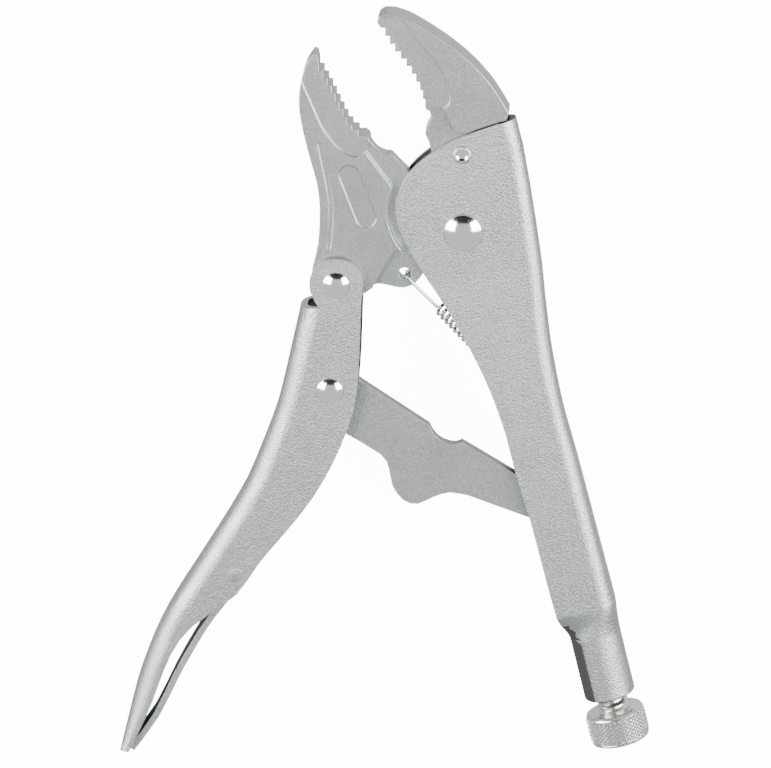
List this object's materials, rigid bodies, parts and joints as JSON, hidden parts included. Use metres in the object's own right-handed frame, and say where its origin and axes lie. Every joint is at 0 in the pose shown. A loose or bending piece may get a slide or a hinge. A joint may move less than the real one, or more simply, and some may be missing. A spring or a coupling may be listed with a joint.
{
  "type": "locking pliers",
  "caption": "Locking pliers with curved toothed jaws, folded sheet handles, a toggle strut, a release lever and a knurled adjusting screw, shown with the jaws open.",
  "frame": {"origin": "centre of the main pivot rivet's flat rear face", "axes": "+Z out of the front face along the main pivot, +Y towards the jaw tips along the adjusting screw, -X towards the lower handle"},
  "size_m": [0.1685, 0.2456, 0.0192],
  "materials": {
    "handle": "sandblasted satin nickel plate",
    "jaw": "satin nickel plate on a forging",
    "link": "satin nickel plate",
    "rivet": "polished nickel plate",
    "screw": "bright nickel plate",
    "spring": "bright drawn wire"
  },
  "bodies": {
    "handle_frame": {"upper_handle": "handle", "fixed_jaw": "jaw", "jaw_stake_pin": "rivet", "main_pivot_rivet": "rivet", "spring_anchor_pin": "rivet", "return_spring": "spring"},
    "lower_jaw": {"lower_jaw": "jaw"},
    "lower_handle": {"lower_handle": "handle", "jaw_lever_rivet": "rivet", "strut_rivet": "rivet", "strut_spacer_front": "link", "strut_spacer_rear": "link", "release_lever_pin": "rivet"},
    "toggle_strut": {"toggle_strut": "link"},
    "release_lever": {"release_lever": "handle"},
    "adjusting_screw": {"adjusting_screw": "screw"},
    "knurled_knob": {"knurled_knob": "screw"}
  },
  "joints": [
    {"name": "jaw_pivot", "type": "hinge", "parent": "handle_frame", "child": "lower_jaw", "pos_m": [0, 0, 0.0072], "axis": [0, 0, 1], "range_deg": [-16.7, 0], "stiffness_Nm_per_rad": 0.6, "springref_deg": 8.59, "deforming": ["return_spring"]},
    {"name": "lever_pivot", "type": "hinge", "parent": "lower_jaw", "child": "lower_handle", "pos_m": [-0.0416, -0.007, 0.0072], "axis": [0, 0, 1], "range_deg": [0, 56]},
    {"name": "strut_pivot", "type": "hinge", "parent": "lower_handle", "child": "toggle_strut", "pos_m": [-0.0516, -0.0397, 0.0072], "axis": [0, 0, 1], "range_deg": [-58, 0]},
    {"name": "release_pivot", "type": "hinge", "parent": "lower_handle", "child": "release_lever", "pos_m": [-0.0948, -0.0917, 0.0072], "axis": [0, 0, 1], "range_deg": [0, 8]},
    {"name": "screw_slide", "type": "slide", "parent": "handle_frame", "child": "adjusting_screw", "axis": [0, -1, 0], "range_m": [0, 0.016]},
    {"name": "knob_turn", "type": "hinge", "parent": "adjusting_screw", "child": "knurled_knob", "pos_m": [0.0095, -0.168, 0.0072], "axis": [0, -1, 0], "range_deg": [0, 2880]}
  ],
  "couplings": [
    {"joint": "jaw_pivot", "follows": "lever_pivot", "ratio": -0.29821},
    {"joint": "strut_pivot", "follows": "lever_pivot", "ratio": -1.035},
    {"joint": "knob_turn", "follows": "screw_slide", "rad_per_m": 3141.6}
  ]
}
